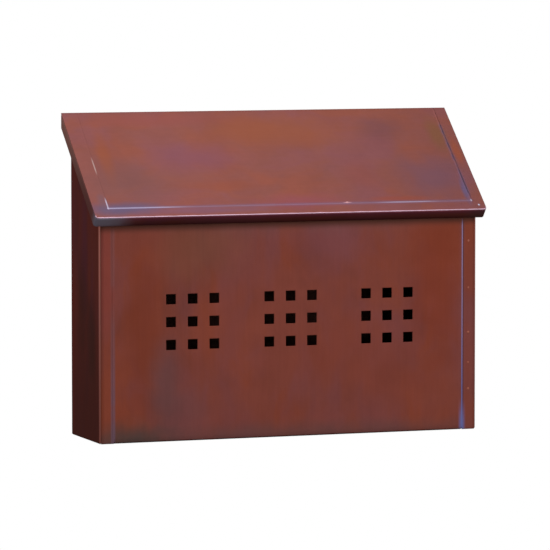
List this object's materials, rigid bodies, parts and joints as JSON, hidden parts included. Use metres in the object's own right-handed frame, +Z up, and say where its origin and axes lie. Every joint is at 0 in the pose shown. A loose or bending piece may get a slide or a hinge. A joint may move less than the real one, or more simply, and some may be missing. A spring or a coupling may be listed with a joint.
{
  "type": "wall mounted mailbox",
  "caption": "Wall mounted letter box of folded copper sheet, with a sloping hinged lid and square windows in its front.",
  "frame": {"origin": "centre of the four wall screw holes, on the wall's surface", "axes": "+X to the right seen from the front, +Y towards the wall, +Z up; the front faces -Y"},
  "size_m": [0.3928, 0.1149, 0.306],
  "materials": {
    "front_copper": "dark antique copper patina, satin lacquer",
    "side_copper": "dark antique copper patina, satin lacquer",
    "lid_copper": "mottled antique copper patina, satin lacquer",
    "rim_copper": "dark antique copper patina, satin lacquer",
    "back_copper": "antique copper patina, matt lacquer",
    "rail_copper": "antique copper patina, matt lacquer",
    "rivet_copper": "copper, slightly dulled",
    "hinge_brass": "antique brass, satin",
    "pin_steel": "stainless steel, drawn"
  },
  "bodies": {
    "box": {"front_panel": "front_copper", "side_panel_left": "side_copper", "side_panel_right": "side_copper", "back_panel": "back_copper", "floor_panel": "back_copper", "mounting_rail_left": "rail_copper", "mounting_rail_right": "rail_copper", "rail_rivets_left": "rivet_copper", "rail_rivets_right": "rivet_copper", "hinge_rivets": "rivet_copper", "hinge_leaf_box": "hinge_brass", "hinge_pin": "pin_steel"},
    "lid": {"lid_plate": "lid_copper", "lid_rim_front": "rim_copper", "lid_rim_left": "rim_copper", "lid_rim_right": "rim_copper", "hinge_leaf_lid": "hinge_brass"}
  },
  "joints": [
    {"name": "lid_hinge", "type": "hinge", "parent": "box", "child": "lid", "pos_m": [0, -0.01254, 0.14625], "axis": [-1, 0, 0], "range_deg": [0, 134]}
  ]
}
